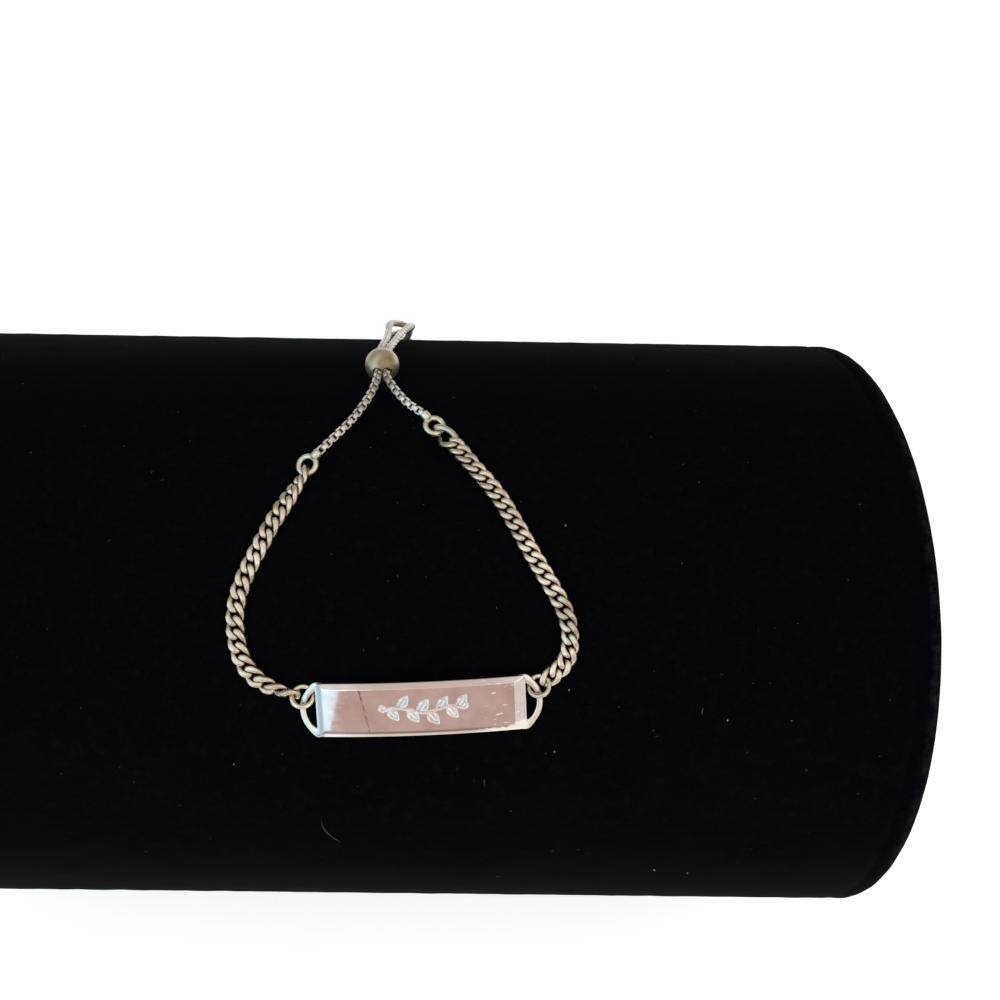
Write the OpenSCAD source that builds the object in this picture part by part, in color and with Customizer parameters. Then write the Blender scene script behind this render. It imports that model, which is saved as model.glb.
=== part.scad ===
// Bolo bracelet lying on a velvet display roll, in millimetres.
// X runs along the roll, Z is up, and the front of the roll faces -Y.
// A place on the roll is [distance along X, angle round the roll, height above its velvet].
// The angle is 0 at the front and 90 at the crest.

/* [Display roll] */
// Diameter of the roll over its velvet
roll_d = 89; // [84:0.5:94]
// Length of the roll
roll_l = 152; // [130:1:200]
// Width of the flat that the roll rests on
roll_flat = 24; // [16:1:36]
// Radius of the rounded rims
rim_r = 1.8; // [1:0.1:4]

/* [Name plate] */
// Length of the plate between its loops
plate_l = 23.8; // [22:0.1:24]
// Width of the plate
plate_w = 6.4; // [6:0.1:6.8]
// Thickness of the plate
plate_t = 0.9; // [0.8:0.05:1.2]
// Width of the bevel round the face
bevel_w = 0.75; // [0.4:0.05:1.2]
// Drop of the bevel from the face to the edge
bevel_h = 0.25; // [0.1:0.05:0.3]
// Radius of the arch on the underside
arch_r = 90; // [70:5:140]
// Height of the loops' underside above the velvet
plate_seat = 0.82; // [0.8:0.02:1]
// How far each D-shaped loop stands out from the plate
loop_reach = 2.2; // [2.1:0.05:2.6]
// Width of the loop's bar
loop_bar = 0.75; // [0.6:0.05:0.9]
// Thickness of the loop's bar
loop_t = 0.55; // [0.45:0.05:0.6]

/* [Rings and eyes] */
// Outer diameter of a jump ring
ring_d = 3; // [2.9:0.05:3.2]
// Wire of a jump ring
ring_wire = 0.56; // [0.5:0.02:0.58]
// Outer diameter of an end eye
eye_d = 2.95; // [2.7:0.05:3]
// Wire of an end eye
eye_wire = 0.7; // [0.6:0.02:0.8]
// Diameter of the socket on an end eye
socket_d = 1.15; // [1:0.05:1.2]

/* [Chains] */
// Width of the curb chain
curb_w = 2.1; // [1.9:0.05:2.2]
// Thickness of the curb chain
curb_t = 1.3; // [1.1:0.05:1.35]
// Width of the box chain
box_w = 1; // [0.9:0.02:1.04]

/* [Slider and tails] */
// Diameter of the slider bead
bead_d = 4.55; // [4.3:0.05:4.6]
// Width of each of the bead's two bores
bore_d = 1.3; // [1.2:0.05:1.4]
// Diameter of the ball at the end of each tail
ball_d = 2; // [1.8:0.1:2.2]

/* [Hidden] */

roll_r = roll_d / 2;
axis_h = sqrt(roll_r * roll_r - roll_flat * roll_flat / 4);
clear = 0.05;

// Where the plate's middle lies, and its turn on the velvet
plate_place = [14.3, 57.5];
plate_turn = 3.2;
plate_end = plate_l / 2;
arch_half = asin((plate_end + loop_reach) / arch_r);
arch_rise = arch_r * (1 - cos(arch_half));
plate_mid_h = plate_seat + arch_rise;

// The D-shaped loop is an arc that starts a little wider than the plate
loop_r = (plate_w * plate_w / 4 + loop_reach * loop_reach) / (2 * loop_reach) + 0.15;
loop_x = plate_end + loop_reach - loop_r;
loop_mid_r = loop_r - loop_bar / 2;
slot_start = plate_end + 0.25;

// Where each jump ring hangs: [angle round its loop, how far its middle lies out of the bar's]
ring_r = (ring_d - ring_wire) / 2;
ring_hang_left = [154, 0.3];
ring_hang_right = [28, 0.35];

// Where each end eye lies, which way its socket points, and how far the socket's side is lifted
eye_r = (eye_d - eye_wire) / 2;
eye_h = eye_wire / 2 + clear;
eye_left = [-0.6, 93.95];
eye_left_turn = 45;
eye_left_lift = 18;
eye_right = [14.6, 102.1];
eye_right_turn = 135;
eye_right_lift = 15;
socket_end = 2.2;

// The bead and the two bores through it
bead_place = [7.05, 115.1];
bead_turn = 6;
bead_h = bead_d / 2 + 0.07;
bore_gap = 1.1;

// Routes: distance along X, angle round the roll, height of the middle, twist of the chain.
// The chains touch down beside the eyes and rings, and the box chains rise to the bead.
CURB_LEFT = [
    [-1.35, 91.9, 0.85, 0],
    [-1.9, 89.4, 0.75, 0],
    [-2.9, 86.7, 0.75, 0],
    [-4.0, 84.0, 0.75, 0],
    [-4.9, 81.2, 0.75, 0],
    [-5.9, 78.3, 0.75, 0],
    [-6.8, 75.3, 0.75, 0],
    [-7.4, 72.3, 0.75, 0],
    [-7.5, 69.4, 0.75, 0],
    [-7.2, 66.3, 0.75, 0],
    [-6.4, 63.2, 0.75, 0],
    [-5.0, 61.0, 0.75, 0],
    [-3.2, 59.6, 0.8, 0],
    [-1.4, 59.1, 0.9, 0]];
CURB_RIGHT = [
    [16.1, 99.8, 1.1, 30],
    [17.3, 97.9, 1.05, 25],
    [18.8, 95.6, 0.95, 15],
    [20.2, 93.3, 0.8, 5],
    [21.9, 90.7, 0.75, 0],
    [23.4, 88.0, 0.75, 0],
    [24.6, 85.3, 0.75, 0],
    [25.8, 82.6, 0.75, 0],
    [27.0, 79.8, 0.75, 0],
    [28.3, 77.1, 0.75, 0],
    [29.6, 74.3, 0.75, 0],
    [30.8, 71.5, 0.85, -20],
    [31.4, 68.6, 0.9, -25],
    [31.4, 65.6, 0.85, -15],
    [30.7, 63.5, 0.8, 0],
    [29.4, 62.2, 0.9, 0]];
BOX_LEFT = [
    [1.0, 96.05, 1.7, 0],
    [2.5, 98.75, 1.65, 0],
    [4.05, 101.7, 1.65, 0],
    [5.3, 104.8, 1.8, 0],
    [6.2, 107.6, 2.05, 0],
    [6.65, 110.2, 2.3, 0],
    [6.75, 112.3, 2.4, 0],
    [6.5, 115.1, 2.35, 0],
    [6.25, 117.9, 2.4, 0],
    [6.3, 120.6, 2.35, 0],
    [6.5, 123.5, 2.3, 0],
    [6.6, 126.5, 2.3, 0],
    [6.5, 129.5, 2.3, 0],
    [6.3, 132.5, 2.3, 0],
    [6.0, 135.5, 2.4, 0],
    [5.8, 138.5, 2.4, 0],
    [5.8, 141.3, 2.5, 0],
    [6.2, 144.0, 2.5, 0],
    [7.2, 146.4, 2.4, 0],
    [7.9, 148.6, 2.0, 0],
    [7.9, 150.8, 1.6, 0],
    [7.5, 153.0, 1.25, 0],
    [7.1, 155.0, 1.1, 0],
    [6.9, 157.0, 1.1, 0]];
BOX_RIGHT = [
    [13.0, 104.0, 1.5, 0],
    [11.1, 106.0, 1.6, 0],
    [9.7, 108.1, 1.8, 0],
    [8.7, 109.9, 2.1, 0],
    [8.1, 111.2, 2.3, 0],
    [7.85, 112.3, 2.4, 0],
    [7.6, 115.1, 2.35, 0],
    [7.35, 117.9, 2.4, 0],
    [7.4, 120.8, 2.35, 0],
    [7.8, 124.0, 2.3, 0],
    [8.2, 127.5, 2.3, 0],
    [8.55, 131.0, 2.3, 0],
    [8.9, 134.5, 2.3, 0],
    [9.1, 137.6, 2.3, 0],
    [9.1, 140.6, 2.1, 0],
    [8.6, 143.3, 1.7, 0],
    [7.6, 145.3, 1.35, 0],
    [6.4, 147.0, 1.1, 0],
    [5.3, 148.9, 0.95, 0],
    [4.7, 151.2, 0.9, 0],
    [4.5, 153.6, 0.95, 0],
    [4.5, 156.0, 1.05, 0],
    [4.5, 157.8, 1.1, 0]];

function unit(v) = v / norm(v);
function outward(angle) = [0, -cos(angle), sin(angle)];
function place(p) = [p[0], 0, axis_h] + (roll_r + p[2]) * outward(p[1]);

// Direction of a route at its point i
function way(route, i) =
    unit(place(route[min(i + 1, len(route) - 1)]) - place(route[max(i - 1, 0)]));

// Eight points round a route's point i, flat against the roll where the twist is 0
function section(route, i, w, t) =
    let (f = way(route, i),
         side = unit(cross(f, outward(route[i][1]))),
         up = cross(side, f),
         twist = route[i][3],
         grow = 0.5 / cos(22.5))
    [for (k = [0:7])
        let (a = 22.5 + 45 * k,
             s = w * grow * cos(a),
             u = t * grow * sin(a))
        place(route[i]) + (s * cos(twist) - u * sin(twist)) * side
                        + (s * sin(twist) + u * cos(twist)) * up];

// A chain's outer form, swept along its route
module chain_tube(route, w, t) {
    last = len(route) - 1;
    points = [for (i = [0:last]) each section(route, i, w, t)];
    walls = [for (i = [0:last - 1], k = [0:7])
        let (a = 8 * i + k, b = 8 * i + (k + 1) % 8)
        each [[a, b, b + 8], [a, b + 8, a + 8]]];
    start = [for (k = [7:-1:0]) k];
    end = [for (k = [0:7]) 8 * last + k];
    polyhedron(points, concat(walls, [start, end]));
}

// Puts what follows on the roll: its Z points out of the velvet and its Y up round the roll
module on_roll(p, h, turn = 0) {
    translate([p[0], 0, axis_h])
        rotate([90 - p[1], 0, 0])
            translate([0, 0, roll_r + h])
                rotate([0, 0, turn])
                    children();
}

// Puts what follows on the arch's underside, at a distance x from the plate's middle
module on_arch(x, lift) {
    translate([0, 0, -arch_r])
        rotate([0, asin(x / arch_r), 0])
            translate([0, 0, arch_r + lift])
                children();
}

module torus(mid_r, wire) {
    rotate_extrude($fn = 48)
        translate([mid_r, 0])
            circle(d = wire, $fn = 24);
}

// The outline [height above the arch's underside, distance across] carried along the arch
module arch_band(outline) {
    span = 2 * arch_half + 2;
    translate([0, 0, -arch_r])
        rotate([0, -90, -90])
            rotate([0, 0, -span / 2])
                rotate_extrude(angle = span, $fn = 360)
                    translate([arch_r, 0])
                        polygon(outline);
}

// Plan of the plate with its loops, wider than the plate so that the band sets its long sides
module plate_plan() {
    square([plate_l, 2 * plate_w], center = true);
    for (side = [-1, 1])
        translate([side * loop_x, 0])
            circle(r = loop_r, $fn = 96);
}

// The D-shaped slots, straight along the plate's ends
module loop_slots() {
    for (side = [-1, 1])
        intersection() {
            translate([side * loop_x, 0])
                circle(r = loop_r - loop_bar, $fn = 96);
            translate([side > 0 ? slot_start : -slot_start - loop_r, -plate_w / 2])
                square([loop_r, plate_w]);
        }
}

// Cuts one end down to the thickness of its loop, with a sloping bevel across the face
module end_cut(side) {
    slope = atan(bevel_h / bevel_w);
    on_arch(side * plate_end, plate_t - bevel_h)
        rotate([0, side * slope, 0])
            translate([-2, -plate_w, 0])
                cube([4, 2 * plate_w, 2]);
    intersection() {
        arch_band([[loop_t, -plate_w], [3, -plate_w], [3, plate_w], [loop_t, plate_w]]);
        translate([side > 0 ? plate_end : -plate_end - plate_l, -2 * plate_w, -plate_w])
            cube([plate_l, 4 * plate_w, 2 * plate_w]);
    }
}

module display_roll() {
    color([0.03, 0.03, 0.04])
        difference() {
            translate([-roll_l / 2, 0, axis_h])
                rotate([0, 90, 0])
                    rotate_extrude($fn = 180)
                        union() {
                            square([roll_r - rim_r, roll_l]);
                            translate([0, rim_r])
                                square([roll_r, roll_l - 2 * rim_r]);
                            for (x = [rim_r, roll_l - rim_r])
                                translate([roll_r - rim_r, x])
                                    circle(r = rim_r, $fn = 48);
                        }
            translate([-roll_l, -roll_r, -roll_r])
                cube([2 * roll_l, 2 * roll_r, roll_r]);
        }
}

module name_plate() {
    half_w = plate_w / 2;
    face_w = half_w - bevel_w;
    edge_t = plate_t - bevel_h;
    color([0.75, 0.68, 0.67])
        on_roll(plate_place, plate_mid_h, plate_turn)
            difference() {
                intersection() {
                    arch_band([[0, -half_w], [edge_t, -half_w], [plate_t, -face_w],
                               [plate_t, face_w], [edge_t, half_w], [0, half_w]]);
                    translate([0, 0, -plate_w])
                        linear_extrude(2 * plate_w)
                            plate_plan();
                }
                translate([0, 0, -plate_w - 1])
                    linear_extrude(2 * plate_w + 2)
                        loop_slots();
                end_cut(-1);
                end_cut(1);
            }
}

// A ring through the plate's loop: its front side passes over the bar and its back side under it.
// It tilts just enough to clear the bar's inner corners.
module jump_ring(side, hang) {
    turn = hang[0];
    out = loop_mid_r + hang[1];
    inner_reach = hang[1] + loop_bar / 2;
    rise = loop_t / 2 + ring_wire / 2 + 3 * clear;
    tilt = asin(rise / sqrt(ring_r * ring_r - inner_reach * inner_reach));
    color([0.72, 0.69, 0.62])
        on_roll(plate_place, plate_mid_h, plate_turn)
            on_arch(side * loop_x + out * cos(turn), loop_t / 2)
                translate([0, out * sin(turn), 0])
                    rotate(a = -side * tilt, v = [cos(turn), sin(turn), 0])
                        torus(ring_r, ring_wire);
}

// An eye whose far side lies on the velvet, and whose short socket holds the end of the box chain
module end_eye(p, turn, lift) {
    socket_rise = (socket_d - eye_wire) / 2;
    color([0.66, 0.66, 0.62])
        on_roll(p, eye_h, turn)
            translate([-eye_r, 0, 0])
                rotate([0, -lift, 0])
                    translate([eye_r, 0, 0])
                        union() {
                            torus(eye_r, eye_wire);
                            translate([eye_r, 0, socket_rise])
                                rotate([0, 90, 0])
                                    cylinder(d = socket_d, h = socket_end - eye_r, $fn = 32);
                        }
}

module slider_bead() {
    color([0.62, 0.58, 0.5])
        on_roll(bead_place, bead_h, bead_turn)
            difference() {
                sphere(d = bead_d, $fn = 96);
                for (side = [-1, 1])
                    translate([side * bore_gap / 2, 0, 0])
                        rotate([90, 0, 0])
                            cylinder(d = bore_d, h = 2 * bead_d, center = true, $fn = 48);
            }
}

// A ball with a short neck that faces back along the tail
module tail_ball(route) {
    last = len(route) - 1;
    tip = route[last];
    neck = 0.4;
    step = neck + ball_d / 2 + clear;
    f = way(route, last);
    color([0.66, 0.62, 0.55])
        translate(place(tip))
            multmatrix(turned_to(f, outward(tip[1])))
                union() {
                    translate([0, 0, step])
                        sphere(d = ball_d, $fn = 64);
                    translate([0, 0, clear])
                        cylinder(d = box_w, h = neck + ball_d / 4, $fn = 32);
                }
}

// A turn that takes Z to f, with X at right angles to up
function turned_to(f, up) =
    let (s = unit(cross(f, up)), u = cross(s, f))
    [[s[0], -u[0], f[0], 0], [s[1], -u[1], f[1], 0], [s[2], -u[2], f[2], 0], [0, 0, 0, 1]];

module jump_ring_left() { jump_ring(-1, ring_hang_left); }
module jump_ring_right() { jump_ring(1, ring_hang_right); }
module end_eye_left() { end_eye(eye_left, eye_left_turn, eye_left_lift); }
module end_eye_right() { end_eye(eye_right, eye_right_turn, eye_right_lift); }
module tail_ball_left() { tail_ball(BOX_LEFT); }
module tail_ball_right() { tail_ball(BOX_RIGHT); }
module curb_chain_left() { color([0.72, 0.66, 0.58]) chain_tube(CURB_LEFT, curb_w, curb_t); }
module curb_chain_right() { color([0.72, 0.66, 0.58]) chain_tube(CURB_RIGHT, curb_w, curb_t); }
module box_chain_left() { color([0.66, 0.65, 0.62]) chain_tube(BOX_LEFT, box_w, box_w); }
module box_chain_right() { color([0.66, 0.65, 0.62]) chain_tube(BOX_RIGHT, box_w, box_w); }

display_roll();
name_plate();
jump_ring_left();
jump_ring_right();
curb_chain_left();
curb_chain_right();
end_eye_left();
end_eye_right();
box_chain_left();
box_chain_right();
slider_bead();
tail_ball_left();
tail_ball_right();
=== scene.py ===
import math
import random

import bmesh
import bpy
import numpy as np
from mathutils import Matrix, Vector, noise


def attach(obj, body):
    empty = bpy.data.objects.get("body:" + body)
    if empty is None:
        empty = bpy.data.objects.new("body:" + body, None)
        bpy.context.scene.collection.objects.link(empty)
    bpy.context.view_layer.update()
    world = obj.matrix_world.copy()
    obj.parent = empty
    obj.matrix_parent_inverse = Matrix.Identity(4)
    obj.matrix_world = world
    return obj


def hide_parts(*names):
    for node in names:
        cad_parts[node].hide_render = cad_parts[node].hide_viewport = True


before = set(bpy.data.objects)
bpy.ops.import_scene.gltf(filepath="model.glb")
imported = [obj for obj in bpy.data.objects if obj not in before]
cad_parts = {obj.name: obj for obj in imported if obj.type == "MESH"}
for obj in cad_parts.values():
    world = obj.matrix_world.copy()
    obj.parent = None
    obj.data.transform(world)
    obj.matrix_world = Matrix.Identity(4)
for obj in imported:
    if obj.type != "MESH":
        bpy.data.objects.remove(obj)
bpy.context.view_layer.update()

# Lengths are in millimetres and angles in degrees. put() turns the meshes into metres.
MM = 0.001

# The display roll
ROLL_R = 44.5
ROLL_L = 152
ROLL_FLAT = 24
RIM_R = 1.8
AXIS_H = math.sqrt(ROLL_R**2 - ROLL_FLAT**2 / 4)

# The cloth on the roll's ends. Each disc, from its middle out, has rows [inset from the end, radius]
DISC_R = 41
DISC_ROWS = [
    [0.25, 1.0],
    [0.22, 10],
    [0.15, 22],
    [0.1, 32],
    [0.12, 38],
    [0.2, 39.6],
    [0.5, 40.2],
    [0.2, 40.8],
    [0, 41.6]]

# How far the cloth waves on the discs, and how far it sinks in beyond a radius
DISC_WAVE = 0.12
SIDE_WAVE = 0.07
SIDE_WAVE_START = 30

# The gathers round each disc: how many, how deep, and the radii between which they show
GATHERS = 44
GATHER_DEPTH = 0.14
GATHER_START = 33
GATHER_GROWS = 5
GATHER_END = 40.9
GATHER_FADES = 0.7

# The crease beside each rim: distance from the end, depth
CREASE_ROWS = [
    [2.4, 0],
    [2.9, 0.1],
    [3.3, 0.22],
    [3.7, 0.1],
    [4.3, 0]]

# The rows of the side between the creases: the first one's distance from the end, and their spacing
SIDE_START = 5.5
SIDE_STEP = 1.2

# The name plate and its loops
PLATE_PLACE = (14.3, 57.5)
PLATE_TURN = 3.2
PLATE_L = 23.8
PLATE_W = 6.4
PLATE_T = 0.9
EDGE_R = 0.12
BEVEL_H = 0.25
BEVELS = {"left": 0.6, "right": 1.05, "top": 0.65, "bottom": 0.8}
ARCH_R = 90
PLATE_SEAT = 0.82
LOOP_REACH = 2.2
LOOP_BAR = 0.75
LOOP_T = 0.55
LOOP_SPREAD = 0.15
LOOP_SPAN = 56
LEDGE_T = 0.63
LEDGE_W = 0.6
LEDGE_INSET = 0.35
PLATE_END = PLATE_L / 2
PLATE_MID_H = PLATE_SEAT + ARCH_R - math.sqrt(ARCH_R**2 - (PLATE_END + LOOP_REACH) ** 2)
LOOP_R = (PLATE_W**2 / 4 + LOOP_REACH**2) / (2 * LOOP_REACH) + LOOP_SPREAD
LOOP_X = PLATE_END + LOOP_REACH - LOOP_R
LOOP_MID_R = LOOP_R - LOOP_BAR / 2

# Where a loop's ends run into the plate's corners: distance past the plate's end, distance from its side
LOOP_CORNER = [
    [-0.75, 0.52],
    [-0.2, 0.47],
    [0.16, 0.44]]

# How much wider a loop's bar gets there, how far from the plate's middle line that starts, and over how far
LOOP_FLARE = 0.4
FLARE_START = 1.9
FLARE_GROWS = 0.9

# The jump rings. Each hangs at [side of the plate, angle round its loop, distance out of the loop's bar]
RING_D = 3.0
RING_WIRE = 0.56
RING_R = (RING_D - RING_WIRE) / 2
RING_HANGS = {"left": (-1, 154, 0.3), "right": (1, 28, 0.35)}
RING_CUTS = {"left": 40, "right": 200}

# The smallest gap between pieces
CLEAR = 0.05

# The end eyes. An eye lies at [x, angle], with a turn and a lift of its socket, and the socket
# has rows [distance from the eye's middle, radius]
EYE_D = 2.95
EYE_WIRE = 0.7
EYE_R = (EYE_D - EYE_WIRE) / 2
SOCKET_D = 1.15
SOCKET_END = 2.2
SOCKET_DEPTH = 0.15
SOCKET_ROWS = [
    [EYE_R - 0.1, 0.4],
    [EYE_R + 0.1, 0.58],
    [EYE_R + 0.45, 0.6],
    [SOCKET_END - 0.12, 0.6],
    [SOCKET_END, 0.52]]
EYES = {"left": ((-0.6, 93.95), 45, 18), "right": ((14.6, 102.1), 135, 15)}

# The slider bead and the tails
BEAD_PLACE = (7.05, 115.1)
BEAD_TURN = 6
BEAD_D = 4.55
BEAD_LIFT = 0.07
BORE_D = 1.3
BORE_GAP = 1.1
BORE_LIP = 0.1
BALL_D = 2.0
BALL_NECK = 0.4

# The curb links. A kind of link is [length, width, wire, twist from its middle to its end]
CURB_WIRE = 0.7
CURB_LENGTH = 2.95
CURB_WIDTH = 2.26
CURB_PITCH = 1.51
CURB_TWIST = -55
CURB_LINK = (CURB_LENGTH, CURB_WIDTH, CURB_WIRE, CURB_TWIST)
FIRST_LINKS = {"left": CURB_LINK, "right": (4.8, 2.7, 0.74, -50)}

# The power that squares a curb link's oval, the height where its pressed faces start, and the share
# that the pressing leaves of what stands higher
CURB_OVAL = 0.8
CURB_FLAT = 0.5
CURB_PRESS = 0.35

# How far each curb chain rolls to pass through the eye and the ring, and over how many joints
HOOK_ROLLS = {"left": (70, 85), "right": (60, 0)}
HOOK_JOINTS = 3.5

# The box links, bent from strip
BOX_W = 0.96
BOX_STRIP_T = 0.17
BOX_STRIP_W = 0.56
BOX_PITCH = 0.6

# The chains' routes: [x, angle round the roll, height of the middle, twist]
CURB_LEFT = [
    [-1.35, 91.9, 0.85, 0],
    [-1.9, 89.4, 0.75, 0],
    [-2.9, 86.7, 0.75, 0],
    [-4.0, 84.0, 0.75, 0],
    [-4.9, 81.2, 0.75, 0],
    [-5.9, 78.3, 0.75, 0],
    [-6.8, 75.3, 0.75, 0],
    [-7.4, 72.3, 0.75, 0],
    [-7.5, 69.4, 0.75, 0],
    [-7.2, 66.3, 0.75, 0],
    [-6.4, 63.2, 0.75, 0],
    [-5.0, 61.0, 0.75, 0],
    [-3.2, 59.6, 0.8, 0],
    [-1.4, 59.1, 0.9, 0]]
CURB_RIGHT = [
    [16.1, 99.8, 1.1, 30],
    [17.3, 97.9, 1.05, 25],
    [18.8, 95.6, 0.95, 15],
    [20.2, 93.3, 0.8, 4],
    [21.9, 90.7, 0.75, -6],
    [23.4, 88.0, 0.75, -12],
    [24.6, 85.3, 0.75, -14],
    [25.8, 82.6, 0.75, -14],
    [27.0, 79.8, 0.75, -14],
    [28.3, 77.1, 0.75, -14],
    [29.6, 74.3, 0.75, -14],
    [30.8, 71.5, 0.85, -20],
    [31.4, 68.6, 0.9, -25],
    [31.4, 65.6, 0.85, -15],
    [30.7, 63.5, 0.8, 0],
    [29.4, 62.2, 0.9, 0]]
BOX_LEFT = [
    [1.0, 96.05, 1.7, 0],
    [2.5, 98.75, 1.65, 0],
    [4.05, 101.7, 1.65, 0],
    [5.3, 104.8, 1.8, 0],
    [6.2, 107.6, 2.05, 0],
    [6.65, 110.2, 2.3, 0],
    [6.75, 112.3, 2.4, 0],
    [6.5, 115.1, 2.35, 0],
    [6.25, 117.9, 2.4, 0],
    [6.3, 120.6, 2.35, 0],
    [6.5, 123.5, 2.3, 0],
    [6.6, 126.5, 2.3, 0],
    [6.5, 129.5, 2.3, 0],
    [6.3, 132.5, 2.3, 0],
    [6.0, 135.5, 2.4, 0],
    [5.8, 138.5, 2.4, 0],
    [5.8, 141.3, 2.5, 0],
    [6.2, 144.0, 2.5, 0],
    [7.2, 146.4, 2.4, 0],
    [7.9, 148.6, 2.0, 0],
    [7.9, 150.8, 1.6, 0],
    [7.5, 153.0, 1.25, 0],
    [7.1, 155.0, 1.1, 0],
    [6.9, 157.0, 1.1, 0]]
BOX_RIGHT = [
    [13.0, 104.0, 1.5, 0],
    [11.1, 106.0, 1.6, 0],
    [9.7, 108.1, 1.8, 0],
    [8.7, 109.9, 2.1, 0],
    [8.1, 111.2, 2.3, 0],
    [7.85, 112.3, 2.4, 0],
    [7.6, 115.1, 2.35, 0],
    [7.35, 117.9, 2.4, 0],
    [7.4, 120.8, 2.35, 0],
    [7.8, 124.0, 2.3, 0],
    [8.2, 127.5, 2.3, 0],
    [8.55, 131.0, 2.3, 0],
    [8.9, 134.5, 2.3, 0],
    [9.1, 137.6, 2.3, 0],
    [9.1, 140.6, 2.1, 0],
    [8.6, 143.3, 1.7, 0],
    [7.6, 145.3, 1.35, 0],
    [6.4, 147.0, 1.1, 0],
    [5.3, 148.9, 0.95, 0],
    [4.7, 151.2, 0.9, 0],
    [4.5, 153.6, 0.95, 0],
    [4.5, 156.0, 1.05, 0],
    [4.5, 157.8, 1.1, 0]]

# The camera: where it stands, its right and down directions, and its lens
CAMERA_AT = (22.33, -44.1, 178.578)
CAMERA_RIGHT = (0.99986, 0.01030, 0.01310)
CAMERA_DOWN = (0.01492, -0.90403, -0.42721)
CAMERA_LENS = 29.844
SENSOR = 36

# Bright specks and dull threads of lint: [x, angle, length, thickness, heading, bend]
SPECKS = [
    [31.0, 84.6, 0.22, 0.16, 20, 0.2],
    [30.0, 49.5, 0.22, 0.18, 70, 0.2],
    [50.3, 55.1, 0.25, 0.16, 110, 0.3],
    [44.1, 22.2, 0.25, 0.18, 10, 0.2],
    [48.6, 21.2, 0.25, 0.18, 130, 0.2],
    [-8.2, 46.6, 0.22, 0.15, 50, 0.2],
    [31.5, 59.5, 0.22, 0.15, 90, 0.2]]
THREADS = [
    [67.0, 88.9, 0.35, 0.1, 170, 0.6],
    [47.6, 92.4, 0.3, 0.1, 120, 0.4],
    [44.8, 78.9, 0.25, 0.12, 60, 0.3],
    [25.0, 38.1, 0.3, 0.14, 150, 0.4],
    [57.9, 55.2, 0.35, 0.12, 175, 0.8],
    [9.0, 66.9, 0.3, 0.12, 60, 0.5],
    [7.4, 65.2, 0.35, 0.08, 100, 0.6],
    [47.3, 56.4, 0.9, 0.06, 85, 0.3],
    [21.7, 43.6, 1.2, 0.05, 92, 0.1],
    [23.6, 18.5, 0.9, 0.08, 40, 0.2],
    [2.6, 32.8, 4.8, 0.09, -64, -0.5]]

# How many specks of dust lie on the roll's side and on its end discs
DUST_SPECKS = 240
DISC_SPECKS = 60
DISC_DUST_R = 38
DISC_DUST_INSET = 0.12

# The engraved sprig on the plate, from the plate's middle: its stem, its end curls and its leaves
SPRIG_START = -4.3
SPRIG_END = 5.0
SPRIG_WAVE = 6.2
SPRIG_RISE = 0.32
CURL_R = 0.42
CURL_TURN = 4.6
SPRIG_LEAVES = 8
LEAF_INSET = 0.7
LEAF_LENGTH = 1.75
LEAF_LEAN = 52
LEAF_BULGE = 0.27
LEAF_VEIN = 0.72
GROOVE_W = 0.3
GROOVE_DEPTH = 0.1

# The long dark line painted across the plate's left part: its direction's normal, its distance and its width
DARK_LINE_NORMAL = (0.981, 0.196, 0)
DARK_LINE_AT = -6.32
DARK_LINE_W = 0.28

# The spacing of the points on the plate's face
FACE_STEP = 0.055

# The metals: bright, dull and crevice colours, smooth and rough gloss, and how far the crevice tarnish and
# painted shade reach
METALS = {
    "curb_silver": ((240, 227, 208), (206, 190, 166), (106, 80, 48), (0.2, 0.42), 0.45),
    "box_silver": ((240, 232, 223), (210, 201, 188), (106, 94, 80), (0.28, 0.5), 0.25),
    "ring_silver": ((240, 230, 212), (216, 204, 180), (60, 42, 20), (0.18, 0.36), 0.5),
    "eye_silver": ((232, 228, 208), (206, 200, 174), (60, 48, 26), (0.3, 0.5), 0.5),
    "ball_silver": ((206, 196, 172), (176, 160, 130), (70, 48, 22), (0.26, 0.4), 0.6),
    "bead_silver": ((214, 196, 172), (198, 181, 152), (84, 62, 34), (0.36, 0.52), 0.6)}

# A brownish reflection painted on the bead: its direction from the bead's middle, its radius and its colour
PAINTED_REFLECTION_WAY = (0.33, -0.45, 0.84)
PAINTED_REFLECTION_R = 1.25
PAINTED_REFLECTION_COLOUR = (150, 132, 106)

# The even light, and the soft lights, in metres and watts:
# name, azimuth, elevation, distance, width, height, power, colour
WORLD_COLOUR = (1.0, 0.99, 0.97, 1)
WORLD_STRENGTH = 0.38
LIGHT_TARGET = (12, -8, 80)
LIGHTS = [
    ("overhead", 10, 82, 1.0, 1.7, 1.7, 5.2, (1.0, 0.98, 0.94)),
    ("window", -61.6, 28, 0.9, 1.06, 1.0, 3.5, (0.43, 0.8, 1.0)),
    ("warm_wall", 3.5, 30, 1.0, 1.04, 0.9, 0.8, (1.0, 0.34, 0.2)),
    ("right_wall", 68, 30, 1.0, 1.4, 0.9, 2.3, (1.0, 0.97, 0.9))]


# Places on the roll and on the plate

def outward(angle):
    """Direction out of the roll at an angle, 0 at the front and 90 at the crest."""
    a = math.radians(angle)
    return Vector((0, -math.cos(a), math.sin(a)))


def place(row):
    """The point of a row [x, angle, height]."""
    return Vector((row[0], 0, AXIS_H)) + outward(row[1]) * float(ROLL_R + row[2])


def row_of(point):
    """The row [x, angle, height, twist] of a point."""
    up = point.z - AXIS_H
    return [point.x, math.degrees(math.atan2(up, -point.y)), math.hypot(point.y, up) - ROLL_R, 0]


def turned(angle, axis):
    return Matrix.Rotation(math.radians(angle), 4, axis)


def moved(x, y, z):
    return Matrix.Translation((x, y, z))


def on_roll(p, h, turn):
    """A place on the roll whose Z points out of the velvet and whose Y points up round the roll."""
    return moved(p[0], 0, AXIS_H) @ turned(90 - p[1], "X") @ moved(0, 0, ROLL_R + h) @ turned(turn, "Z")


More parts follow.
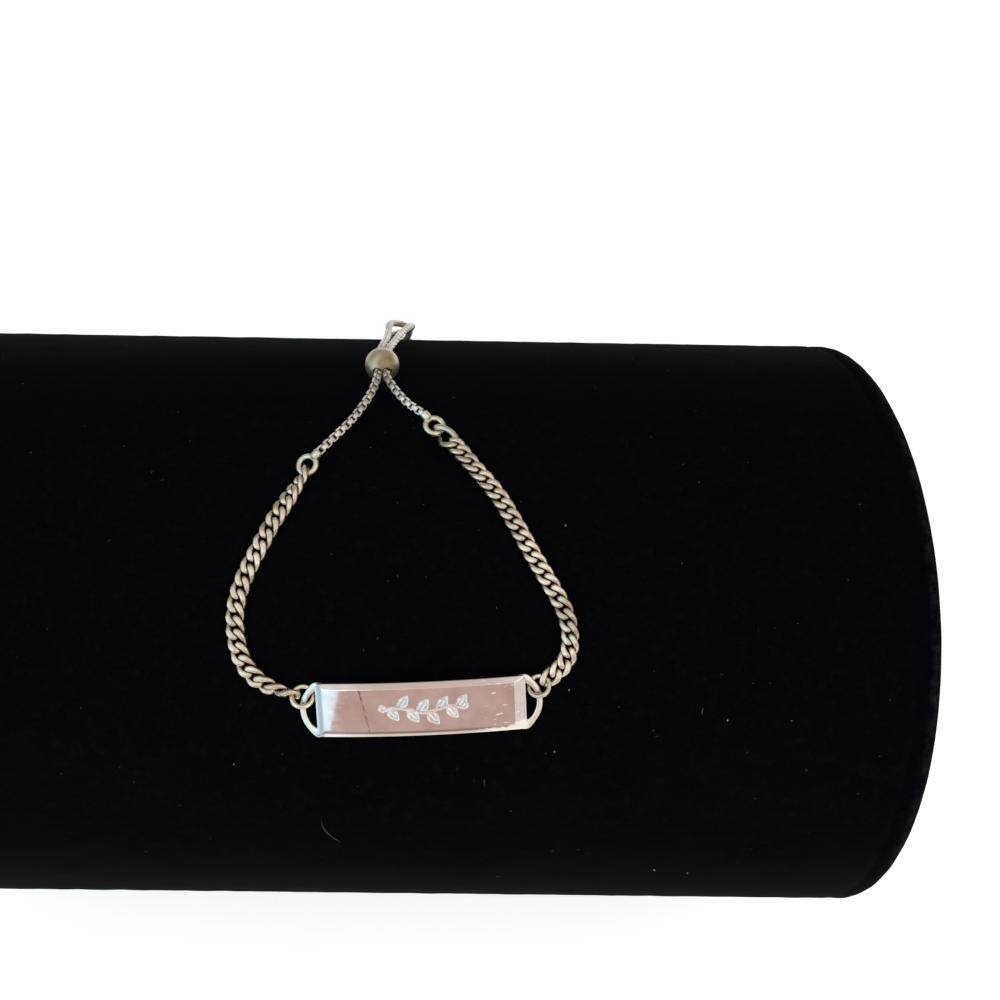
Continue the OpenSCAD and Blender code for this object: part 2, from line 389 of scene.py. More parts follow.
def on_arch(x, lift):
    """A place above the arch's underside, at a distance x from the plate's middle."""
    slope = math.degrees(math.asin(x / ARCH_R))
    return moved(0, 0, -ARCH_R) @ turned(slope, "Y") @ moved(0, 0, ARCH_R + lift)


def plate_frame():
    return on_roll(PLATE_PLACE, PLATE_MID_H, PLATE_TURN)


def ring_frame(side, turn, out):
    """The tilted frame of a jump ring that hangs on its loop."""
    reach = LOOP_MID_R + out
    across = math.sqrt(RING_R**2 - (out + LOOP_BAR / 2) ** 2)
    tilt = math.degrees(math.asin((LOOP_T / 2 + RING_WIRE / 2 + 3 * CLEAR) / across))
    a = math.radians(turn)
    hung = on_arch(side * LOOP_X + reach * math.cos(a), LOOP_T / 2) @ moved(0, reach * math.sin(a), 0)
    return plate_frame() @ hung @ turned(-side * tilt, Vector((math.cos(a), math.sin(a), 0)))


def eye_frame(p, turn, lift):
    """The frame of an end eye, whose far side lies on the velvet and whose X points to its socket."""
    hinge = on_roll(p, EYE_WIRE / 2 + CLEAR, turn) @ moved(-EYE_R, 0, 0)
    return hinge @ turned(-lift, "Y") @ moved(EYE_R, 0, 0)


# Routes

def smooth(rows, steps=24):
    """A Catmull-Rom curve through rows."""
    rows = np.array(rows, float)
    ends = np.vstack([2 * rows[0] - rows[1], rows, 2 * rows[-1] - rows[-2]])
    t = np.linspace(0, 1, steps, endpoint=False)[:, None]
    parts = []
    for i in range(len(rows) - 1):
        a, b, c, d = ends[i:i + 4]
        parts.append(0.5 * (2 * b + (c - a) * t + (2 * a - 5 * b + 4 * c - d) * t**2
                            + (3 * b - a - 3 * c + d) * t**3))
    return np.vstack(parts + [rows[-1:]])


class Route:
    """A smooth curve through rows, measured along its length."""

    def __init__(self, rows):
        self.rows = smooth(rows)
        points = np.array([place(row) for row in self.rows])
        steps = np.linalg.norm(np.diff(points, axis=0), axis=1)
        self.along = np.concatenate([[0], np.cumsum(steps)])
        self.length = self.along[-1]

    def row(self, s):
        return [float(np.interp(s, self.along, self.rows[:, k])) for k in range(4)]

    def seat(self, s, chord, roll=0):
        """The frame of a link centred at s: X along its chord, Y to the left, Z out of the velvet."""
        start = place(self.row(s - chord / 2))
        end = place(self.row(s + chord / 2))
        f = (end - start).normalized()
        left = outward(self.row(s)[1]).cross(f).normalized()
        up = f.cross(left)
        seat = Matrix((f, left, up)).transposed().to_4x4()
        seat.translation = (start + end) / 2
        return seat @ turned(roll, "X")


# Meshes

def skin(rings, closed):
    """Vertices and faces over rings of points, joined end to end or capped."""
    count, sides = rings.shape[:2]
    faces = []
    for i in range(count if closed else count - 1):
        a = i * sides
        b = (i + 1) % count * sides
        for k in range(sides):
            n = (k + 1) % sides
            faces.append((a + k, a + n, b + n, b + k))
    if not closed:
        faces.append(tuple(range(sides)))
        faces.append(tuple(range((count - 1) * sides, count * sides)))
    return rings.reshape(-1, 3), faces


def sweep(middle, section, closed=True, centre=None):
    """Rings of a section [[outwards, across]] carried along a line, outwards being away from centre."""
    middle = np.array(middle, float)
    if closed:
        way = np.roll(middle, -1, axis=0) - np.roll(middle, 1, axis=0)
    else:
        way = np.gradient(middle, axis=0)
    way /= np.linalg.norm(way, axis=1)[:, None]
    out = middle - (middle.mean(axis=0) if centre is None else np.array(centre))
    out -= (out * way).sum(axis=1)[:, None] * way
    out /= np.linalg.norm(out, axis=1)[:, None]
    across = np.cross(way, out)
    section = np.array(section, float)
    if section.ndim == 2:
        section = np.repeat(section[None], len(middle), axis=0)
    return middle[:, None] + section[:, :, :1] * out[:, None] + section[:, :, 1:] * across[:, None]


def circle(r, sides):
    a = np.arange(sides) * 2 * math.pi / sides
    return np.stack([r * np.cos(a), r * np.sin(a)], axis=1)


def rounded(width, height, r, steps=3):
    """Outline of a rectangle with rounded corners."""
    points = []
    for k, (sx, sy) in enumerate(((1, 1), (-1, 1), (-1, -1), (1, -1))):
        for j in range(steps + 1):
            a = math.radians(90 * k + 90 * j / steps)
            x = sx * (width / 2 - r) + r * math.cos(a)
            y = sy * (height / 2 - r) + r * math.sin(a)
            points.append((x, y))
    return np.array(points)


class Heap:
    """Many small solids gathered into one mesh."""

    def __init__(self):
        self.verts = []
        self.faces = []
        self.count = 0

    def add(self, verts, faces, seat=Matrix.Identity(4)):
        m = np.array(seat)
        self.verts.append(np.asarray(verts) @ m[:3, :3].T + m[:3, 3])
        self.faces += [tuple(i + self.count for i in face) for face in faces]
        self.count += len(verts)

    def mesh(self, name):
        mesh = bpy.data.meshes.new(name)
        mesh.from_pydata(np.vstack(self.verts).tolist(), [], self.faces)
        work = bmesh.new()
        work.from_mesh(mesh)
        bmesh.ops.recalc_face_normals(work, faces=work.faces[:])
        work.to_mesh(mesh)
        work.free()
        return mesh


def lone(verts, faces):
    """A heap of one solid."""
    heap = Heap()
    heap.add(verts, faces)
    return heap


def modified(mesh, *modifiers):
    """A mesh with modifiers applied: each is a kind and its settings."""
    work = bpy.data.objects.new("work", mesh)
    bpy.context.scene.collection.objects.link(work)
    for kind, settings in modifiers:
        modifier = work.modifiers.new(kind, kind)
        for key, value in settings.items():
            setattr(modifier, key, value)
    bpy.context.view_layer.update()
    evaluated = work.evaluated_get(bpy.context.evaluated_depsgraph_get())
    result = bpy.data.meshes.new_from_object(evaluated)
    bpy.data.objects.remove(work)
    return result


def put(name, mesh, material, slot, *nodes, seat=Matrix.Identity(4), sharp=None):
    """Shows a mesh that is in millimetres as a piece that stands for CAD nodes."""
    mesh.transform(Matrix.Scale(MM, 4) @ seat)
    mesh.name = name
    mesh.materials.clear()
    mesh.materials.append(material)
    mesh.shade_smooth()
    if sharp:
        mesh.set_sharp_from_angle(angle=math.radians(sharp))
    piece = bpy.data.objects.new(name, mesh)
    bpy.context.scene.collection.objects.link(piece)
    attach(piece, "root")
    if nodes:
        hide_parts(*nodes)


# Materials

def tint(red, green, blue):
    """A colour as the screen shows it, 0 to 255, turned into the linear one that shaders take."""
    def linear(c):
        c /= 255
        return c / 12.92 if c <= 0.04045 else ((c + 0.055) / 1.055) ** 2.4
    return (linear(red), linear(green), linear(blue), 1)


class Shader:
    """A node material with a few short ways to add nodes."""

    def __init__(self, name):
        self.material = bpy.data.materials.new(name)
        self.material.use_nodes = True
        self.nodes = self.material.node_tree.nodes
        self.links = self.material.node_tree.links
        self.skin = self.nodes["Principled BSDF"]
        self.place = self.nodes.new("ShaderNodeTexCoord").outputs["Object"]

    def set(self, **values):
        for key, value in values.items():
            self.skin.inputs[key.replace("_", " ")].default_value = value

    def feed(self, socket, source):
        self.links.new(source, self.skin.inputs[socket])

    def node(self, kind, inputs=(), **settings):
        made = self.nodes.new(kind)
        for key, value in settings.items():
            setattr(made, key, value)
        for key, value in dict(inputs).items():
            if isinstance(value, bpy.types.NodeSocket):
                self.links.new(value, made.inputs[key])
            else:
                made.inputs[key].default_value = value
        return made

    def stretched(self, scale, turn=(0, 0, 0), where=None):
        """The places of points, drawn out or turned."""
        inputs = {"Vector": where or self.place, "Scale": scale, "Rotation": turn}
        return self.node("ShaderNodeMapping", inputs).outputs[0]

    def distance(self, where, point):
        made = self.node("ShaderNodeVectorMath", {0: where, 1: point}, operation="DISTANCE")
        return made.outputs["Value"]

    def noise(self, size, detail=3.0, rough=0.55, where=None):
        """Noise whose blobs measure about size millimetres."""
        inputs = {"Vector": where or self.place, "Scale": 1 / (size * MM)}
        inputs.update({"Detail": detail, "Roughness": rough})
        return self.node("ShaderNodeTexNoise", inputs).outputs["Fac"]

    def ramp(self, source, *stops):
        """Maps a value to colours or greys given as (position, colour)."""
        made = self.node("ShaderNodeValToRGB", {"Fac": source})
        while len(made.color_ramp.elements) < len(stops):
            made.color_ramp.elements.new(0.5)
        for element, (position, colour) in zip(made.color_ramp.elements, stops):
            element.position = position
            element.color = colour if isinstance(colour, tuple) else (colour, colour, colour, 1)
        return made.outputs["Color"]

    def mix(self, share, first, second):
        inputs = {0: share, 6: first, 7: second}
        return self.node("ShaderNodeMix", inputs, data_type="RGBA").outputs[2]

    def math(self, operation, first, second):
        return self.node("ShaderNodeMath", {0: first, 1: second}, operation=operation).outputs[0]

    def bump(self, height, depth, before=None):
        """A normal from a height of 0 to 1 that stands depth millimetres high."""
        inputs = {"Height": height, "Strength": 1.0, "Distance": depth * MM}
        if before:
            inputs["Normal"] = before
        return self.node("ShaderNodeBump", inputs).outputs[0]


def silver(name, painted_reflection=None):
    """Worn silver: bright metal with dull blotches, dark tarnish and painted shade in its crevices, and fine
    dents.

    A painted reflection is its middle, its radius and its colour.
    """
    bright, darker, crevice_tarnish_and_shade = [tint(*colour) for colour in METALS[name][:3]]
    (low, high), reach = METALS[name][3:]
    dents = 0.004
    s = Shader(name)
    s.set(Metallic=1.0)
    blotches = s.ramp(s.noise(0.9, 4), (0.35, 0.0), (0.7, 1.0))
    base = s.mix(blotches, bright, darker)
    base = s.mix(s.ramp(s.noise(4.5, 2), (0.42, 0.0), (0.68, 0.4)), base, crevice_tarnish_and_shade)
    if painted_reflection:
        # painted reflection: a soft brownish patch round a point on the surface
        middle, radius, colour = painted_reflection
        away = s.math("DIVIDE", s.distance(s.place, middle * MM), 2 * radius * MM)
        ragged = s.math("ADD", away, s.math("MULTIPLY", s.noise(0.9, 3), 0.25))
        base = s.mix(s.ramp(ragged, (0.46, 1.0), (0.72, 0.0)), base, colour)
    # painted shade with tarnish: crevices that ambient occlusion finds turn towards the crevice colour
    hollow = s.node("ShaderNodeAmbientOcclusion", {"Distance": reach * MM}, samples=8, only_local=True)
    depth = s.ramp(hollow.outputs["AO"], (0.25, 1.0), (0.75, 0.0))
    s.feed("Base Color", s.mix(depth, base, crevice_tarnish_and_shade))
    s.feed("Roughness", s.ramp(s.noise(0.35, 5), (0.3, low), (0.75, high)))
    s.feed("Normal", s.bump(s.noise(0.12, 3), dents, s.bump(s.noise(0.7, 2), dents * 3)))
    return s.material


def plate_silver():
    """A polished plate with fine scratches, painted shade on its bevels and satin loops.

    Near its right end it is nicked, and its lower rim and corner are worn bright. A long dark line is
    painted across its left part.
    """
    s = Shader("plate_silver")
    s.set(Metallic=1.0)
    seat = plate_frame()
    seated = {"Vector": s.place, "Location": seat.translation * MM, "Rotation": seat.to_euler()}
    own = s.node("ShaderNodeMapping", seated, vector_type="TEXTURE").outputs[0]
    along, across, _ = s.node("ShaderNodeSeparateXYZ", {0: own}).outputs
    tip = (PLATE_END + LOOP_REACH) * MM
    share = s.node("ShaderNodeMapRange", {"Value": along, "From Min": -tip, "From Max": tip}).outputs[0]
    rightward = s.ramp(share, (0.7, 0.0), (0.8, 1.0), (0.93, 1.0), (0.94, 0.0))
    low = s.math("DIVIDE", across, -PLATE_W / 2 * MM)
    corner = s.math("MULTIPLY", s.ramp(share, (0.84, 0.0), (0.92, 1.0)), 0.25)
    ragged = s.math("MULTIPLY", s.noise(0.6, 3), 0.3)
    rim = s.math("SUBTRACT", s.math("ADD", s.math("ADD", low, corner), ragged), 0.5)
    off_middle = s.math("DIVIDE", s.math("ABSOLUTE", across, 0.0), PLATE_W / 2 * MM)
    bevelled = s.ramp(off_middle, (0.75, 0.0), (0.8, 1.0))
    # painted shade: the top and bottom bevels are darkened, most over the middle of the plate's length
    darker = s.math("MULTIPLY", bevelled, s.ramp(share, (0.15, 0.0), (0.32, 1.0), (0.78, 0.9), (0.9, 0.2)))
    loops = s.ramp(share, (0.06, 1.0), (0.075, 0.0), (0.925, 0.0), (0.94, 1.0))
    nicked = s.stretched((900, 4200, 900), (0, 0, 0.9), own)
    nicks = s.ramp(s.noise(1000, 1, 0.4, nicked), (0.66, 0.0), (0.74, 0.7))
    rubbed = s.ramp(rim, (0.45, 0.0), (0.55, 1.0))
    worn = s.math("MULTIPLY", rightward, s.math("MAXIMUM", nicks, rubbed))
    blotches = s.ramp(s.noise(2.4, 4), (0.35, 0.0), (0.7, 1.0))
    # the bevels take the painted shade colour
    base = s.mix(darker, s.mix(blotches, tint(228, 224, 222), tint(210, 202, 199)), tint(198, 180, 172))
    # painted shade on the slope of the left bevel
    left_bevel_shade = s.ramp(share, (0.076, 0.0), (0.08, 1.0), (0.097, 1.0), (0.1, 0.0))
    base = s.mix(left_bevel_shade, base, tint(188, 172, 170))
    base = s.mix(loops, base, tint(230, 226, 214))
    # a long dark line painted across the plate's left part, broken by noise and kept off the bevels
    beside = s.node("ShaderNodeVectorMath", {0: own, 1: DARK_LINE_NORMAL}, operation="DOT_PRODUCT")
    aside = s.math("ABSOLUTE", s.math("SUBTRACT", beside.outputs["Value"], DARK_LINE_AT * MM), 0.0)
    line = s.ramp(s.math("DIVIDE", aside, DARK_LINE_W * MM), (0.1, 1.0), (0.5, 0.0))
    broken = s.math("MULTIPLY", line, s.ramp(s.noise(0.5, 3), (0.38, 0.1), (0.6, 0.8)))
    dark_line = s.math("MULTIPLY", broken, s.math("SUBTRACT", 1.0, bevelled))
    hollow = s.node("ShaderNodeAmbientOcclusion", {"Distance": 0.35 * MM}, samples=8, only_local=True)
    depth = s.ramp(hollow.outputs["AO"], (0.3, 1.0), (0.8, 0.0))
    shaded = s.mix(s.math("MAXIMUM", depth, dark_line), base, tint(88, 66, 58))
    s.feed("Base Color", s.mix(worn, shaded, tint(253, 249, 244)))
    normal = None
    for turn, fine in ((0.5, 0.07), (1.3, 0.09), (2.4, 0.08)):
        streaks = s.stretched((1 / (9 * MM), 1 / (fine * MM), 1 / (9 * MM)), (0, 0, turn))
        lines = s.ramp(s.noise(1000, 2, 0.5, streaks), (0.62, 0.0), (0.7, 1.0))
        normal = s.bump(lines, -0.0003, normal)
    normal = s.bump(s.noise(1.8, 2), 0.0035, normal)
    s.feed("Normal", normal)
    polish = s.ramp(s.noise(0.8, 5), (0.3, 0.04), (0.75, 0.08))
    satin = s.mix(loops, polish, (0.3, 0.3, 0.3, 1))
    s.feed("Roughness", s.mix(worn, satin, (0.6, 0.6, 0.6, 1)))
    return s.material


def velvet():
    """Black velvet pile, dusty on the folds at its ends, with a paler nap and painted sheen on the end
    discs.
    """
    s = Shader("velvet")
    s.set(Roughness=1.0, Sheen_Weight=0.008, Sheen_Roughness=0.3, Sheen_Tint=(0.9, 0.95, 0.95, 1))
    s.skin.inputs["Specular IOR Level"].default_value = 0.02
    pile = s.noise(0.35, 4, 0.7)
    patches = s.ramp(s.noise(14, 3), (0.35, 0.0), (0.7, 1.0))
    base = s.mix(patches, tint(3, 2, 6), tint(5, 4, 8))
    clumps = s.ramp(s.noise(1.5, 5, 0.75), (0.5, 0.0), (0.75, 0.55))
    clumped = s.mix(clumps, base, tint(15, 15, 17))
    speckled = s.mix(s.ramp(pile, (0.55, 0.0), (0.75, 0.6)), clumped, tint(17, 16, 20))
    along = s.node("ShaderNodeSeparateXYZ", {0: s.place}).outputs[0]
    end = s.math("DIVIDE", s.math("ABSOLUTE", along, 0.0), ROLL_L / 2 * MM)
    fold = s.ramp(end, (0.972, 0.0), (0.984, 1.0), (0.994, 0.0))
    dust = s.math("MULTIPLY", fold, s.ramp(s.noise(1.6, 4, 0.7), (0.4, 0.0), (0.7, 1.0)))
    dusty = s.mix(dust, speckled, tint(34, 33, 36))
    # painted sheen with a paler nap: the end discs are lighter than the side
    out = s.distance(s.stretched((0, 1, 1)), (0, 0, AXIS_H * MM))
    disc = s.ramp(s.math("DIVIDE", out, ROLL_R * MM), (0.895, 1.0), (0.925, 0.0))
    brushed = s.ramp(s.noise(9, 4, 0.65), (0.35, 0.0), (0.65, 1.0))
    disc_nap_and_sheen = s.mix(brushed, tint(25, 24, 28), tint(37, 36, 41))
    grain = s.mix(s.ramp(pile, (0.4, 0.0), (0.75, 0.8)), disc_nap_and_sheen, tint(52, 51, 56))
    s.feed("Base Color", s.mix(disc, dusty, grain))
    s.feed("Normal", s.bump(pile, 0.12))
    return s.material


def fluff(name, dim, bright):
    """Loose fibres whose grey changes from one to the next."""
    s = Shader(name)
    s.set(Roughness=0.9)
    s.feed("Base Color", s.ramp(s.noise(1.2, 2), (0.35, dim), (0.65, bright)))
    return s.material


def pale_floor():
    s = Shader("pale_floor")
    s.set(Roughness=0.85, Emission_Color=(1, 1, 1, 1), Emission_Strength=0.45)
    s.feed("Base Color", s.ramp(s.noise(60, 3), (0.3, tint(243, 243, 243)), (0.7, tint(247, 247, 247))))
    return s.material


# The roll

def roll_stations():
    """Rows [x, radius] from the middle of one end to the middle of the other.

    Each end has a disc with a tucked seam, a round rim and a crease beside it.
    """
    half = ROLL_L / 2
    right = [(half - inset, r) for inset, r in DISC_ROWS]
    for a in range(0, 91, 15):
        x = half - RIM_R * (1 - math.cos(math.radians(a)))
        right.append((x, ROLL_R - RIM_R * (1 - math.sin(math.radians(a)))))
    right += [(half - inset, ROLL_R - depth) for inset, depth in CREASE_ROWS]
    right += [(x, ROLL_R) for x in np.arange(half - SIDE_START, 0, -SIDE_STEP)]
    return [(-x, r) for x, r in right] + right[::-1]


def roll_mesh():
    """The roll's cloth, uneven by about a tenth of a millimetre and flat where it rests."""
    around = 264
    rings = []
    for x, r in roll_stations():
        share = max(0, min(1, (r - GATHER_START) / GATHER_GROWS, (GATHER_END - r) / GATHER_FADES))
        ring = []
        for k in range(around):
            a = 2 * math.pi * k / around
            point = Vector((x, -math.cos(a), math.sin(a)))
            sunk = 0
            inward = 0
            if r > SIDE_WAVE_START:
                sunk = SIDE_WAVE * (1 + noise.noise(Vector((x / 3, point.y * 15, point.z * 15))))
            if r < DISC_R:
                gathered = GATHER_DEPTH * math.cos(GATHERS * a) * share
                soft = DISC_WAVE * noise.noise(Vector((r / 9, point.y * 2, point.z * 2)))
                inward = math.copysign(0.5 * GATHER_DEPTH + gathered + soft, x)
            ring.append((x - inward, (r - sunk) * point.y, max(AXIS_H + (r - sunk) * point.z, 0)))
        rings.append(ring)
    return lone(*skin(np.array(rings), closed=False)).mesh("display_roll")


def on_end(side, out, around, turn):
    """A place on an end disc of the roll whose Z points out of it."""
    disc = moved(side * (ROLL_L / 2 - DISC_DUST_INSET), 0, AXIS_H)
    return disc @ turned(around, "X") @ moved(0, out, 0) @ turned(90 * side, "Y") @ turned(turn, "Z")


def fibre(seat, length, thickness, bend, phase):
    """One bent thread of lint that lies on the velvet, round a place on it."""
    points = 7
    middle = []
    for t in np.linspace(-0.5, 0.5, points):
        middle.append((length * t, bend * length * (0.25 - t * t), 0.03 * math.sin(9 * t + phase)))
    middle = np.array(middle)
    width = thickness * np.sqrt(1.02 - np.linspace(-1, 1, points) ** 2)
    section = np.array([circle(w / 2, 6) for w in width])
    rings = sweep(middle, section, closed=False, centre=(0, 0, -5))
    return (*skin(rings, closed=False), seat @ moved(0, 0, thickness / 2 + 0.02))


def laid(heap, rows):
    """Adds the threads of rows [x, angle, length, thickness, heading, bend] to a heap."""
    for x, angle, length, thickness, heading, bend in rows:
        heap.add(*fibre(on_roll((x, angle), 0, heading), length, thickness, bend, x))


def lint_mesh():
    """The bright specks of lint that show in the photograph."""
    heap = Heap()
    laid(heap, SPECKS)
    return heap.mesh("velvet_lint")


def dust_mesh():
    """The dull threads that show in the photograph, and small specks all over the roll and its end discs."""
    heap = Heap()
    laid(heap, THREADS)
    draw = random.Random(4)
    for _ in range(DUST_SPECKS):
        row = (draw.uniform(-73, 73), draw.uniform(-10, 190))
        length = draw.uniform(0.12, 0.4)
        thickness = draw.uniform(0.03, 0.07)
        seat = on_roll(row, 0, draw.uniform(0, 180))
        heap.add(*fibre(seat, length, thickness, draw.uniform(-1, 1), draw.random()))
    for _ in range(DISC_SPECKS):
        side = draw.choice((-1, 1))
        out = DISC_DUST_R * math.sqrt(draw.random())
        seat = on_end(side, out, draw.uniform(0, 360), draw.uniform(0, 180))
        length = draw.uniform(0.15, 0.6)
        thickness = draw.uniform(0.04, 0.08)
        heap.add(*fibre(seat, length, thickness, draw.uniform(-1, 1), draw.random()))
    return heap.mesh("velvet_dust")


# The name plate

def arched(verts):
    """Bends points [x, across, lift] along the plate's arch."""
    verts = np.array(verts, float)
    verts[:, 2] = np.sqrt((ARCH_R + verts[:, 2]) ** 2 - verts[:, 0] ** 2) - ARCH_R
    return verts


def grid_lines(half, low_bevel, high_bevel, step):
    """Places of the grid lines across the plate, close together at its rims and over its face."""
    rim = [0, 0.02, 0.06, EDGE_R]
    beside = 0.03
    low = [*rim, 0.5 * (EDGE_R + low_bevel), low_bevel - beside]
    high = [*rim, 0.5 * (EDGE_R + high_bevel), high_bevel - beside]
    count = math.ceil((2 * half - low_bevel - high_bevel) / step)
    face = np.linspace(-half + low_bevel + beside, half - high_bevel - beside, count)
    return np.concatenate([-half + np.array(low), face, half - np.array(high)[::-1]])


def sprig_lines():
    """The engraved sprig as polylines: a wavy stem, a curl at each end and pairs of pointed leaves."""
    lines = []

    def stem(x):
        return SPRIG_RISE * math.sin(2 * math.pi * (x - SPRIG_START) / SPRIG_WAVE)

    xs = np.linspace(SPRIG_START, SPRIG_END, 60)
    lines.append([(x, stem(x)) for x in xs])
    for end, way in ((SPRIG_START, -1), (SPRIG_END, 1)):
        curl = []
        for u in np.linspace(0, CURL_TURN, 16):
            shrink = 1 - u / 9
            x = end + way * CURL_R * math.sin(u) * shrink
            curl.append((x, stem(end) + CURL_R * (1 - math.cos(u)) * shrink))
        lines.append(curl)
    for k in range(SPRIG_LEAVES):
        x = SPRIG_START + LEAF_INSET + k * (SPRIG_END - SPRIG_START - 2 * LEAF_INSET) / (SPRIG_LEAVES - 1)
        side = 1 if k % 2 else -1
        lean = math.radians(side * LEAF_LEAN)
        size = LEAF_LENGTH - 0.06 * abs(k - (SPRIG_LEAVES - 1) / 2)
        along = Vector((math.cos(lean), math.sin(lean)))
        across = Vector((-along.y, along.x))
        root = Vector((x, stem(x)))
        for bulge in (-LEAF_BULGE, LEAF_BULGE):
            lines.append([root + along * size * t + across * bulge * size * math.sin(math.pi * t ** 0.85)
                          for t in np.linspace(0, 1, 12)])
        lines.append([root, root + along * size * LEAF_VEIN])
    return lines


def groove_depth(x, y):
    """How deep the engraving is at points of the face, as a rounded V along the sprig's lines."""
    deep = np.zeros(x.shape)
    for line in sprig_lines():
        for (ax, ay), (bx, by) in zip(line[:-1], line[1:]):
            near = (np.minimum(ax, bx) - GROOVE_W < x) & (x < np.maximum(ax, bx) + GROOVE_W)
            px, py = x[near] - ax, y[near] - ay
            dx, dy = bx - ax, by - ay
            t = np.clip((px * dx + py * dy) / (dx * dx + dy * dy + 1e-12), 0, 1)
            far = np.hypot(px - t * dx, py - t * dy)
            deep[near] = np.maximum(deep[near], np.clip(1 - 2 * far / GROOVE_W, 0, 1))
    return GROOVE_DEPTH * deep ** 0.8


def plate_body():
    """The bevelled plate with its engraved face, flat on its arch until arched() bends it."""
    half_l, half_w = PLATE_END, PLATE_W / 2
    xs = grid_lines(half_l, BEVELS["left"], BEVELS["right"], FACE_STEP)
    ys = grid_lines(half_w, BEVELS["bottom"], BEVELS["top"], FACE_STEP)
    x, y = np.meshgrid(xs, ys, indexing="ij")
    to_sides = {"left": x + half_l, "right": half_l - x, "bottom": y + half_w, "top": half_w - y}
    drop = BEVEL_H * np.max([np.clip(1 - to_sides[s] / BEVELS[s], 0, 1) for s in BEVELS], axis=0)
    rim = np.clip(EDGE_R - np.minimum(to_sides["bottom"], to_sides["top"]), 0, EDGE_R)
    drop += EDGE_R - np.sqrt(EDGE_R**2 - rim**2)
    lift = PLATE_T - drop - groove_depth(x, y)
    nx, ny = len(xs), len(ys)
    verts = [*np.stack([x, y, lift], axis=2).reshape(-1, 3)]
    faces = [(i * ny + j, (i + 1) * ny + j, (i + 1) * ny + j + 1, i * ny + j + 1)
             for i in range(nx - 1) for j in range(ny - 1)]
    border = [(i, 0) for i in range(nx)] + [(nx - 1, j) for j in range(1, ny)]
    border += [(i, ny - 1) for i in range(nx - 2, -1, -1)] + [(0, j) for j in range(ny - 2, 0, -1)]
    above = [i * ny + j for i, j in border]
    chamfer = 0.08
    for level, inset in ((chamfer, 0), (0, chamfer)):
        below = []
        for i, j in border:
            below.append(len(verts))
            verts.append((xs[i] * (1 - inset / half_l), ys[j] * (1 - inset / half_w), level))
        for k, top in enumerate(above):
            n = (k + 1) % len(border)
            faces.append((top, above[n], below[n], below[k]))
        above = below
    where = dict(zip(border, above))
    strips = []
    for i in range(nx):
        across = range(ny) if i in (0, nx - 1) else (0, ny - 1)
        strips.append([where[i, j] for j in across])
    for near, far in zip(strips[:-1], strips[1:]):
        faces.append(tuple(near + far[::-1]))
    return verts, faces


def loop_bar(side):
    """A D-shaped loop: an arc whose flared ends run into the plate's corners."""
    half_w = PLATE_W / 2
    middle = []
    for a in np.linspace(-LOOP_SPAN, LOOP_SPAN, 41):
        turn = math.radians(a)
        middle.append((LOOP_X + LOOP_MID_R * math.cos(turn), LOOP_MID_R * math.sin(turn)))
    corner = [(PLATE_END + past, half_w - inset) for past, inset in LOOP_CORNER]
    middle = [(x, -y) for x, y in corner] + middle + corner[::-1]
    rows = smooth([(x, y, 0) for x, y in middle], 3)
    flare = np.clip((np.abs(rows[:, 1]) - FLARE_START) / FLARE_GROWS, 0, 1)
    section = np.array([rounded(LOOP_BAR + LOOP_FLARE * f * f, LOOP_T, 0.2) for f in flare])
    rings = sweep(rows, section, closed=False, centre=(LOOP_X - 3, 0, 0))
    verts, faces = skin(rings, closed=False)
    verts = verts * (side, 1, 1) + (0, 0, LOOP_T / 2)
    return verts, faces


def ledge(side):
    """The low ledge between the plate's end and the loop's slot."""
    outline = rounded(LEDGE_W, LEDGE_T, 0.14)
    reach = PLATE_W / 2 - LEDGE_INSET
    rings = []
    for y in (-reach, 0, reach):
        rings.append([(side * (PLATE_END - 0.05) + px, y, LEDGE_T / 2 + pz) for px, pz in outline])
    return skin(np.array(rings), closed=False)


def name_plate_mesh():
    """The plate, its loops and its ledges joined into one casting."""
    solids = [plate_body()]
    for side in (-1, 1):
        solids += [ledge(side), loop_bar(side)]
    meshes = [lone(arched(verts), faces).mesh("casting") for verts, faces in solids]
    casting = meshes[0]
    for mesh in meshes[1:]:
        other = bpy.data.objects.new("other", mesh)
        bpy.context.scene.collection.objects.link(other)
        union = {"operation": "UNION", "solver": "MANIFOLD", "object": other}
        casting = modified(casting, ("BOOLEAN", union))
        bpy.data.objects.remove(other)
    return casting


# Rings and eyes

def ring_mesh(cut):
    """A round wire ring whose ends meet at a hairline cut."""
    turns = np.radians(cut + np.linspace(0.7, 359.3, 73))
    middle = np.stack([RING_R * np.cos(turns), RING_R * np.sin(turns), 0 * turns], axis=1)
    rings = sweep(middle, circle(RING_WIRE / 2, 20), closed=False, centre=(0, 0, 0))
    return lone(*skin(rings, closed=False)).mesh("ring")


def eye_mesh():
    """An eye and its socket, soldered together with a soft fillet."""
    heap = Heap()
    turns = np.linspace(0, 2 * math.pi, 96, endpoint=False)
    middle = np.stack([EYE_R * np.cos(turns), EYE_R * np.sin(turns), 0 * turns], axis=1)
    heap.add(*skin(sweep(middle, circle(EYE_WIRE / 2, 24)), closed=True))
    rise = (SOCKET_D - EYE_WIRE) / 2
    rings = []
    for x, r in SOCKET_ROWS:
        rings.append([(x, y, z + rise * min(1, (x - EYE_R + 0.4))) for y, z in circle(r, 32)])
    heap.add(*skin(np.array(rings), closed=False))
    soldered = ("REMESH", {"mode": "VOXEL", "voxel_size": 0.045})
    return modified(heap.mesh("eye"), soldered, ("SMOOTH", {"factor": 0.6, "iterations": 6}))


# Chains

